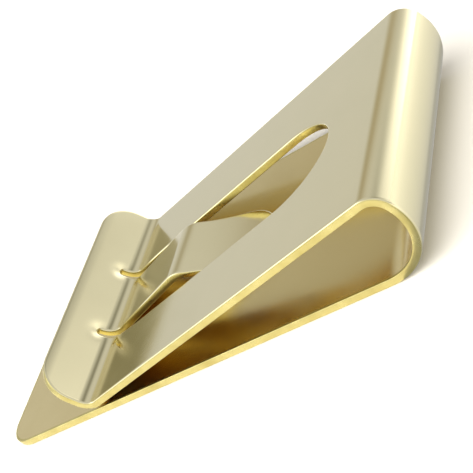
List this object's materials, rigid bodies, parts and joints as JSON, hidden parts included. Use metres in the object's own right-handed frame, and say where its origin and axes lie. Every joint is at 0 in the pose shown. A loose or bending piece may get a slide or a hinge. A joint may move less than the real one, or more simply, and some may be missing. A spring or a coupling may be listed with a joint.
{
  "type": "money clip",
  "caption": "Folded sheet-metal money clip with a spring bend, a windowed leaf, a curled lip and a sprung centre tongue.",
  "frame": {"origin": "bottom centre of the closed clip, on the outer face of the back plate", "axes": "+X along the strip from the free end of the back to the spring bend, +Y across the strip, +Z from the back plate towards the leaf"},
  "size_m": [0.0504, 0.025, 0.008],
  "materials": {
    "gold_sheet": "polished gold plate"
  },
  "bodies": {
    "back": {"back_plate": "gold_sheet", "bend_lower": "gold_sheet"},
    "leaf": {"bend_upper": "gold_sheet", "leaf_bridge": "gold_sheet", "rail_near": "gold_sheet", "rail_far": "gold_sheet", "lip": "gold_sheet", "tongue_root": "gold_sheet"},
    "tongue": {"tongue_arm": "gold_sheet", "tongue_tip": "gold_sheet"}
  },
  "joints": [
    {"name": "leaf_spring", "type": "hinge", "parent": "back", "child": "leaf", "pos_m": [0.02459, 0, 0.00349], "axis": [0, 1, 0], "range_deg": [0, 10], "stiffness_Nm_per_rad": 3, "springref_deg": -1.72},
    {"name": "tongue_spring", "type": "hinge", "parent": "leaf", "child": "tongue", "pos_m": [-0.01132, 0, 0.00139], "axis": [0, -1, 0], "range_deg": [0, 10], "stiffness_Nm_per_rad": 0.5, "springref_deg": -2.29}
  ]
}
